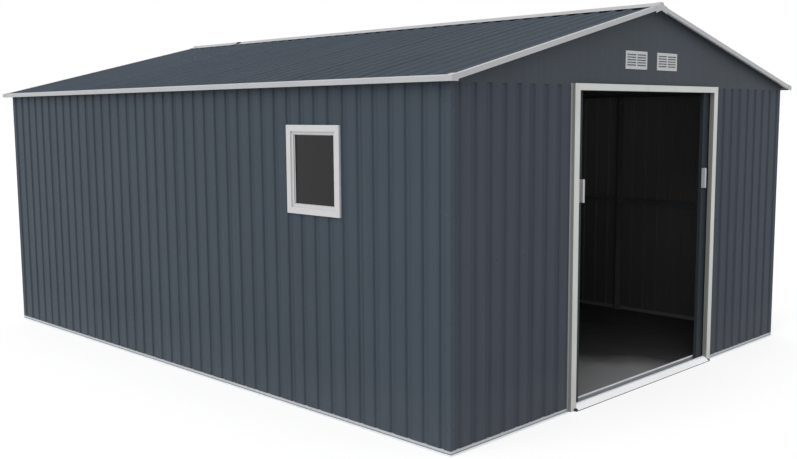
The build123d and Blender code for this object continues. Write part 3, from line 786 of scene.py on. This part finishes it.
# Screws stand in the pans, halfway between two ribs; rivets stand on the folded trims
def roofFixings():
    last = roofScrews["pansEachSide"]
    pans = np.arange(-last, last + 1, roofScrews["everyPan"]) * shed["ribPitch"]
    screws = Spots()
    for side in (-1, 1):
        for inset in (roofScrews["eaveInset"], slopeLength / 2):
            screws.add(onSlope(side, [inset], pans, shed["panLevel"]), slopeNormal(side))
    screws.fix("roof_screws", "roofScrew", "slateRoof")
    rivets = Spots()
    end = shed["roofHalfDepth"]
    insets = row(roofScrews["vergeLow"], slopeLength - roofScrews["vergeHigh"], roofScrews["vergePitch"])
    alongEave = row(-end + roofScrews["eaveEnd"], end - roofScrews["eaveEnd"], roofScrews["eavePitch"])
    capEdge = slopeLength - shed["ridgeCapReach"] / math.cos(slope) + roofScrews["capInset"]
    for side in (-1, 1):
        for way in (-1, 1):
            rivets.add(onSlope(side, insets, [way * end], -roofScrews["rivetInset"]), (0, way, 0))
        rivets.add(points(side * shed["run"], alongEave, trimTop - shed["trimFace"] / 2), (side, 0, 0))
        rivets.add(onSlope(side, [capEdge], pans, roofScrews["capLift"]), slopeNormal(side))
    rivets.fix("trim_rivets", "rivet", "whiteTrim")
    print("roof screws and trim rivets set")


surroundRivets = {
    "flange": 0.0075,
    "proud": 0.001,
    "low": 0.06,
    "high": 1.65,
    "pitch": 0.32,
    "headerEnd": 0.017,
}
rampScrews = {"nose": 0.004, "slopeDepth": 0.032, "end": 0.10, "pitch": 0.31}


# Rivets down the flanges of the door surround, and screws through the ramp's slope
def surroundFixings():
    proudY = -shed["halfDepth"] - surroundRivets["proud"]
    jambLow, jambHigh = lowOf("door_jamb_right")[0], highOf("door_jamb_right")[0]
    flangeX = jambHigh - surroundRivets["flange"]
    faceX = flangeX - (jambHigh - jambLow - shed["jambFold"]) / 2 - surroundRivets["flange"]
    heights = row(surroundRivets["low"], surroundRivets["high"], surroundRivets["pitch"])
    headerZ = lowOf("door_header")[2] + surroundRivets["headerEnd"]
    rivets = Spots()
    for side in (-1, 1):
        rivets.add(points(side * flangeX, proudY, np.append(heights, headerZ)), (0, -1, 0))
        rivets.add(points(side * faceX, lowOf("door_header")[1], headerZ), (0, -1, 0))
    rivets.fix("surround_rivets", "rivet", "surroundTrim")
    low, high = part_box("door_ramp")
    nose, topZ, frontY = rampScrews["nose"], high[2], low[1]
    backY = frontY + rampScrews["slopeDepth"]
    incline = math.atan2(topZ - nose, backY - frontY)
    screws = Spots()
    spotX = row(low[0] + rampScrews["end"], high[0] - rampScrews["end"], rampScrews["pitch"])
    spots = points(spotX, (frontY + backY) / 2, (topZ + nose) / 2)
    screws.add(spots, (0, -math.sin(incline), math.cos(incline)))
    screws.fix("ramp_screws", "panScrew", "rampWhite")
    print("door surround fixings set")


doorFixings = {
    "stile": 0.013,
    "low": 0.08,
    "high": 1.62,
    "pitch": 0.385,
    "handleSpan": 0.045,
    "handleInset": 0.011,
    "plate": 0.003,
}


# Rivets up both stiles of each door, which ride with it, and two screws in each handle
def dressDoors():
    for name, side in (("left", -1), ("right", 1)):
        body = name + "_door"
        low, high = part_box("door_" + name + "_frame")
        heights = row(doorFixings["low"], doorFixings["high"], doorFixings["pitch"])
        gripLow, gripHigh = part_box("door_" + name + "_handle")
        heights = heights[(heights < gripLow[2]) | (heights > gripHigh[2])]
        rivets = Spots()
        for x in (low[0] + doorFixings["stile"], high[0] - doorFixings["stile"]):
            rivets.add(points(x, low[1], heights), (0, -1, 0))
            rivets.add(points(x, high[1], heights), (0, 1, 0))
        rivets.fix("door_" + name + "_rivets", "rivet", "slateDoor", body)
        outer = gripHigh[0] if side > 0 else gripLow[0]
        middle, span = (gripLow[2] + gripHigh[2]) / 2, doorFixings["handleSpan"]
        x, y = outer - side * doorFixings["handleInset"], gripHigh[1] - doorFixings["plate"]
        screws = Spots()
        screws.add(points(x, y, [middle - span, middle + span]), (0, -1, 0))
        screws.fix("door_" + name + "_handle_screws", "panScrew", "fastener", body)
    print("door rivets and handle screws set")


boltSpots = {"low": 0.075, "fromTopRail": 0.045, "inset": 0.020}


# Bolts on the inner face of each post's web: low, at the middle rail and under the top rail
def frameBolts():
    sideX = shed["halfWidth"] - shed["postWeb"]
    backY = shed["halfDepth"] - shed["postWeb"]
    postY = shed["halfDepth"] - shed["postInset"]
    heights = [boltSpots["low"], shed["midRail"], lowOf("top_rail_left")[2] - boltSpots["fromTopRail"]]
    inset = boltSpots["inset"]
    bolts = Spots()
    for side in (-1, 1):
        for y in (-postY, postY):
            bolts.add(points(side * sideX, y, heights), (-side, 0, 0))
        for y in (lowOf("corner_posts")[1] + inset, highOf("corner_posts")[1] - inset):
            bolts.add(points(side * sideX, y, heights), (-side, 0, 0))
        bolts.add(points(side * (sideX - inset), backY, heights), (0, -1, 0))
    bolts.add(points(0.0, backY, heights), (0, -1, 0))
    bolts.fix("frame_bolts", "bolt", "fastener")
    print("frame bolts set")


ventScrews = {"corner": 0.007, "plate": 0.003, "between": 0.109}


# A screw in each corner of the four gable vents
def ventFixings():
    low, high = np.array(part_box("vents_front"))
    width = (high[0] - low[0] - ventScrews["between"]) / 2
    edges = np.array([low[0], low[0] + width, high[0] - width, high[0]])
    inset = ventScrews["corner"] * np.array([1, -1, 1, -1])
    x, z = np.meshgrid(edges + inset, [low[2] + ventScrews["corner"], high[2] - ventScrews["corner"]])
    screws = Spots()
    for side in (-1, 1):
        screws.add(points(x, side * (shed["halfDepth"] + ventScrews["plate"]), z), (0, side, 0))
    screws.fix("vent_screws", "rivet", "ventMoulding")
    print("vent screws set")


# Mitred line beside an open line: a point moves by distance * (a + b) / (1 + a . b), where
# a and b are the left-hand unit normals before and after it.
def beside(line, distance):
    step = unit(np.diff(line, axis=0))
    normal = np.stack([-step[:, 1], step[:, 0]], -1)
    before, after = np.vstack([normal[:1], normal]), np.vstack([normal, normal[-1:]])
    return line + distance * (before + after) / (1 + np.sum(before * after, axis=1, keepdims=True))


# A folded strip: the loop of an open line (u, v) moved out by its sheet and in by a sink, put at
# start + u across + v outward, and carried straight along for a length; quads close both ends.
def putStrips(name, line, sheet, starts, axes, length, finish, sink=0.0002):
    line = np.array(line, float)
    outer, inner = beside(line, sheet), beside(line, -sink)
    loop = np.concatenate([outer, inner[::-1]])
    alongAxis, acrossAxis, outward = (np.array(axis, float) for axis in axes)
    section = loop[:, :1] * acrossAxis + loop[:, 1:] * outward
    ends = np.array([0.0, length])[:, None, None] * alongAxis
    spots = np.array(starts, float)[:, None, None] + (section[None] + ends)[None]
    count = len(loop)
    strip = np.arange(len(line) - 1)
    cap = np.stack([strip, count - 1 - strip, count - 2 - strip, strip + 1], -1)
    faces = np.concatenate([gridFaces(2, count), cap, cap[:, ::-1] + count])
    if np.dot(np.cross(acrossAxis, outward), alongAxis) > 0:
        faces = faces[:, ::-1]
    allFaces = (faces[None] + np.arange(len(spots))[:, None, None] * 2 * count).reshape(-1, 4)
    return putMesh(name, spots, allFaces.tolist(), finish)


laps = {
    "every": 5,
    "reach": 0.006,
    "sheet": 0.0007,
    "besideWindow": 0.03,
    "roofRibs": 15,
    "roofStart": 0.027,
    "roofEnd": 0.030,
}


# The lapped edge follows a whole rib (flat, side, floor, side, flat), into the wall or up off the roof
def ribLine(depthSign):
    mouth, floor = shed["ribMouth"] / 2, shed["ribFloor"] / 2
    u = [-mouth - laps["reach"], -mouth, -floor, floor, mouth, mouth + laps["reach"]]
    v = np.array([0, 0, 1, 1, 0, 0]) * shed["ribDepth"] * depthSign
    return np.stack([u, v], -1)


# A lap runs up every few ribs, at -half + (every + 1/2) pitch and on; the window cuts some in two
def wallLaps():
    pitch, halfWidth, halfDepth = shed["ribPitch"], shed["halfWidth"], shed["halfDepth"]
    low, high = shed["wallLow"], shed["wallTop"] - shed["wallLow"]
    first, step = (laps["every"] + 0.5) * pitch, laps["every"] * pitch
    ribY = np.arange(-halfDepth + first, halfDepth - pitch, step)
    ribX = np.arange(-halfWidth + first, halfWidth - pitch, step)
    frontX = ribX[np.abs(ribX) > wallScrews["clearOfDoor"]]
    up, line, sheet = (0, 0, 1), ribLine(-1), laps["sheet"]
    windowLow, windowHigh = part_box("window_frame")
    near = laps["besideWindow"]
    isClear = (ribY + near < windowLow[1]) | (ribY - near > windowHigh[1])
    sides = [
        ("laps_left", points(-halfWidth, ribY[isClear], low), (0, 1, 0), (-1, 0, 0), "slateSheetAlong"),
        ("laps_right", points(halfWidth, ribY, low), (0, 1, 0), (1, 0, 0), "slateSheetAlong"),
        ("laps_back", points(ribX, halfDepth, low), (1, 0, 0), (0, 1, 0), "slateSheetAcross"),
        ("laps_front", points(frontX, -halfDepth, low), (1, 0, 0), (0, -1, 0), "slateSheetAcross"),
    ]
    for name, starts, acrossAxis, outward, finish in sides:
        putStrips(name, line, sheet, starts, (up, acrossAxis, outward), high, finish)
    spans = [
        ("laps_under_window", low, windowLow[2] - low),
        ("laps_over_window", windowHigh[2], shed["wallTop"] - windowHigh[2]),
    ]
    for name, start, length in spans:
        starts, axes = points(-halfWidth, ribY[~isClear], start), (up, (0, 1, 0), (-1, 0, 0))
        putStrips(name, line, sheet, starts, axes, length, "slateSheetAlong")


# On the roof a rib stands at (i + 1/2) pitch, and its lap runs up to the ridge cap
def roofLaps():
    last = laps["roofRibs"]
    ribY = (np.arange(-last, last + 1, laps["every"]) + 0.5) * shed["ribPitch"]
    length = slopeLength - shed["ridgeCapReach"] / math.cos(slope) - laps["roofEnd"]
    for side, name in ((-1, "laps_roof_left"), (1, "laps_roof_right")):
        starts = onSlope(side, [laps["roofStart"]], ribY, shed["panLevel"])
        uphill = (-side * math.cos(slope), 0, math.sin(slope))
        axes = (uphill, (0, 1, 0), slopeNormal(side))
        putStrips(name, ribLine(1), laps["sheet"], starts, axes, length, "slateRoof")
    print("sheet laps laid")


joints = {
    "sheet": 0.0008,
    "eaveSpots": (-0.80, 0.80),
    "width": 0.030,
    "saddleSpots": (1.64,),
    "saddleWidth": 0.055,
    "saddleLift": 0.001,
}


# Sleeves over the joints of the eave trims: up the flange to (-f cos a, f sin a), and down the face
def eaveSleeves():
    flange, face = shed["trimFlange"], shed["trimFace"]
    start = (-flange * math.cos(slope), flange * math.sin(slope))
    line = [start, (0.0, 0.0), (0.0, -face)]
    y = np.array(joints["eaveSpots"]) - joints["width"] / 2
    for side, name in ((-1, "eave_sleeves_left"), (1, "eave_sleeves_right")):
        axes = ((0, 1, 0), (side, 0, 0), (0, 0, 1))
        starts = points(side * shed["run"], y, trimTop)
        putStrips(name, line, joints["sheet"], starts, axes, joints["width"], "whiteTrim")


# Saddle over a joint of the ridge cap: z = -|x| tan a up to the roll's foot and then the roll's top,
# lifted off the cap
def ridgeSaddles():
    reach, foot, top = shed["ridgeCapReach"], shed["rollFoot"], shed["rollTop"]
    footZ = -foot * math.tan(slope)
    half = [(-reach, -reach * math.tan(slope)), (-foot, footZ), (-top, shed["rollHeight"] + footZ)]
    line = half + [(-u, v) for u, v in reversed(half)]
    line = beside(np.array(line), joints["saddleLift"])
    y = np.array(joints["saddleSpots"]) - joints["saddleWidth"] / 2
    axes = ((0, 1, 0), (1, 0, 0), (0, 0, 1))
    starts, width = points(0.0, y, trimTop + shed["rise"]), joints["saddleWidth"]
    putStrips("ridge_saddles", line, joints["sheet"], starts, axes, width, "slateRoof")
    print("eave sleeves and ridge saddles fitted")


windowDetail = {
    "gasket": 0.0022,
    "corner": 0.004,
    "pathSteps": 48,
    "ringSteps": 8,
    "bead": 0.015,
    "proud": 0.3,
    "cap": 0.011,
    "capCount": 3,
}


# A closed cord round a rectangle with round corners. Path at turn t, with corner radius c:
# (sign(cos t) (h - c) + c cos t, sign(sin t) (v - c) + c sin t); section at turn s: width w cos s
# away from the middle and height w sin s off the pane.
def putGasket(name, middle, halves, finish):
    corner, thick, steps = windowDetail["corner"], windowDetail["gasket"], windowDetail["pathSteps"]
    turn = (np.arange(steps) + 0.5) * 2 * math.pi / steps
    cosine, sine = np.cos(turn), np.sin(turn)
    pathY = np.sign(cosine) * (halves[0] - corner) + corner * cosine
    pathZ = np.sign(sine) * (halves[1] - corner) + corner * sine
    ring = turns(windowDetail["ringSteps"])
    out, off = thick * np.cos(ring), thick * np.sin(ring)
    y = middle[1] + pathY[:, None] + cosine[:, None] * out
    z = middle[2] + pathZ[:, None] + sine[:, None] * out
    x = middle[0] + off[None] + 0 * y
    faces = gridFaces(steps, len(ring), looped=True)
    return putMesh(name, np.stack([x, y, z], -1), faces[:, ::-1].tolist(), finish, smooth=True)


# Gaskets on both faces of the pane, white outside and black inside, and screws round the frame
def windowFittings():
    glassLow, glassHigh = np.array(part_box("window_glass"))
    beadLow, beadHigh = np.array(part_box("window_bead"))
    frameLow, frameHigh = np.array(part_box("window_frame"))
    middle = (glassLow + glassHigh) / 2
    thick = windowDetail["gasket"]
    sight, proud = (beadHigh - beadLow)[1:] / 2, thick * windowDetail["proud"]
    outside, inside = [glassLow[0] - proud, *middle[1:]], [glassHigh[0] + proud, *middle[1:]]
    outerHalves, innerHalves = sight - windowDetail["bead"] - thick * 0.5, sight - thick * 0.5
    putGasket("window_gasket_outer", outside, outerHalves, "windowMoulding")
    putGasket("window_gasket_inner", inside, innerHalves, "blackMoulding")
    inset = windowDetail["cap"]
    y, z = np.linspace(frameLow + inset, frameHigh - inset, windowDetail["capCount"])[:, 1:].T
    screws = Spots()
    for end in (0, -1):
        screws.add(points(frameLow[0], y, z[end]), (-1, 0, 0))
        screws.add(points(frameLow[0], y[end], z[1:-1]), (-1, 0, 0))
    screws.fix("window_screws", "rivet", "windowMoulding")
    print("window gaskets and screws fitted")


# Sizes of the dark cord and feet at the ramp, which stand in for shade
rampShadeSizes = {
    "radius": 0.0017,
    "cordSteps": 10,
    "sink": 0.0006,
    "footWidth": 0.019,
    "footHeight": 0.012,
    "bendSteps": 7,
}


# A closed outline (y, z), counterclockwise seen from +x, carried along x; flat ends close it
def putBar(name, outline, lowX, highX, finish):
    outline = np.array(outline, float)
    count = len(outline)
    ends = [np.column_stack([np.full(count, x), outline]) for x in (lowX, highX)]
    first = list(range(count))
    faces = gridFaces(2, count).tolist() + [first[::-1], [place + count for place in first]]
    return putMesh(name, np.stack(ends), faces, finish)


# Black rubber cord along the foot of the ramp, a circle (r cos s, r sin s), and a black rubber foot
# before each jamb, whose front and top are one round (-depth sin s, height cos s). Both are dark
# pieces put as painted shade under the ramp's front edge and at its ends.
def layRampShadePieces():
    low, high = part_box("door_ramp")
    frontY, backY = low[1], lowOf("door_jamb_right")[1] - rampShadeSizes["sink"] / 2
    radius, turn = rampShadeSizes["radius"], turns(rampShadeSizes["cordSteps"])
    circle = [frontY - radius + rampShadeSizes["sink"] + radius * np.cos(turn), radius + radius * np.sin(turn)]
    putBar("ramp_shade_cord", np.stack(circle, -1), low[0], high[0], "blackMoulding")
    bend = np.linspace(0, math.pi / 2, rampShadeSizes["bendSteps"])
    curve = [backY - (backY - frontY) * np.sin(bend), rampShadeSizes["footHeight"] * np.cos(bend)]
    outline = np.concatenate([np.stack(curve, -1), [[backY, 0.0]]])
    inner = lowOf("door_jamb_right")[0]
    outer = inner + rampShadeSizes["footWidth"]
    putBar("ramp_shade_foot_left", outline, -outer, -inner, "blackMoulding")
    putBar("ramp_shade_foot_right", outline, inner, outer, "blackMoulding")
    print("ramp seal and feet laid")


wallFixings()
roofFixings()
surroundFixings()
dressDoors()
frameBolts()
ventFixings()
wallLaps()
roofLaps()
eaveSleeves()
ridgeSaddles()
windowFittings()
layRampShadePieces()

studio = {
    "world": 0.86,
    "floorAlbedo": 0.72,
    "floorSeen": 0.34,
    "floorGlow": 0.70,
    "keyStrength": 1.28,
    "keyFrom": (-0.74, -0.10, 0.66),
    "keyAngle": 60,
    "floorReach": 120.0,
    "floorDrop": 0.001,
}


# One on the rays that show a thing as such: from the camera, in a shine or through the pane
def seenAsSuch(tree):
    path = grow(tree, "LightPath")
    seen = maths(tree, "MAXIMUM", path.outputs["Is Camera Ray"], path.outputs["Is Glossy Ray"])
    return maths(tree, "MAXIMUM", seen, path.outputs["Is Transmission Ray"])


# The floor takes light as a pale grey; the camera and the shine see it lifted to near white,
# with the object's soft shadow kept.
def makeFloor():
    reach, level = studio["floorReach"], -studio["floorDrop"]
    corners = [(x * reach, y * reach, level) for x, y in ((-1, -1), (1, -1), (1, 1), (-1, 1))]
    data = bpy.data.meshes.new("studioFloor")
    data.from_pydata(corners, [], [(0, 1, 2, 3)])
    floor = bpy.data.objects.new("studioFloor", data)
    bpy.context.scene.collection.objects.link(floor)
    made, tree, shader = newMaterial("studioFloor")[:3]
    seen = seenAsSuch(tree)
    grey = spread(tree, seen, studio["floorAlbedo"], studio["floorSeen"])
    paint = grow(tree, "CombineColor", {0: grey, 1: grey, 2: grey}).outputs[0]
    glow = product(tree, seen, studio["floorGlow"])
    feed(tree, shader, Base_Color=paint, Roughness=1.0, Specular_IOR_Level=0.0)
    feed(tree, shader, Emission_Color=(1, 1, 1, 1), Emission_Strength=glow)
    data.materials.append(made)


# An even world, seen as plain white but lighting the shed a little less
def makeWorld():
    world = bpy.data.worlds.new("studio")
    bpy.context.scene.world = world
    world.use_nodes = True
    tree = world.node_tree
    level = spread(tree, seenAsSuch(tree), studio["world"], 1.0)
    background = tree.nodes["Background"]
    background.inputs["Color"].default_value = (1, 1, 1, 1)
    tree.links.new(level, background.inputs["Strength"])


# A wide soft sun, turned so that its -z axis looks along the aim
def makeKey():
    light = bpy.data.lights.new("key", "SUN")
    light.energy = studio["keyStrength"]
    light.angle = math.radians(studio["keyAngle"])
    lamp = bpy.data.objects.new("key", light)
    bpy.context.scene.collection.objects.link(lamp)
    aim = -np.array(studio["keyFrom"])
    aim = aim / np.linalg.norm(aim)
    lamp.rotation_euler = (math.acos(-aim[2]), 0, math.atan2(-aim[0], aim[1]))


view = {
    "place": (-4.9601, -5.1676, 1.5857),
    "yaw": 0.787055,
    "pitch": -0.119347,
    "roll": -0.006837,
    "lens": 43.93,
    "farthest": 400,
}


# Looking along (sin yaw cos pitch, cos yaw cos pitch, sin pitch), then rolled about that line
def makeCamera():
    data = bpy.data.cameras.new("camera")
    data.lens = view["lens"]
    data.clip_end = view["farthest"]
    camera = bpy.data.objects.new("camera", data)
    bpy.context.scene.collection.objects.link(camera)
    yaw, pitch, roll = view["yaw"], view["pitch"], view["roll"]
    ahead = np.array([math.sin(yaw) * math.cos(pitch), math.cos(yaw) * math.cos(pitch), math.sin(pitch)])
    right = np.array([math.cos(yaw), -math.sin(yaw), 0])
    up = np.cross(right, ahead)
    turnedRight = right * math.cos(roll) + up * math.sin(roll)
    turnedUp = -right * math.sin(roll) + up * math.cos(roll)
    matrix = np.eye(4)
    matrix[:3] = np.stack([turnedRight, turnedUp, -ahead, view["place"]], -1)
    camera.matrix_world = Matrix(matrix.tolist())
    bpy.context.scene.camera = camera


makeFloor()
makeWorld()
makeKey()
makeCamera()
bpy.context.scene.view_settings.view_transform = "Standard"
print("stage, light and camera set")
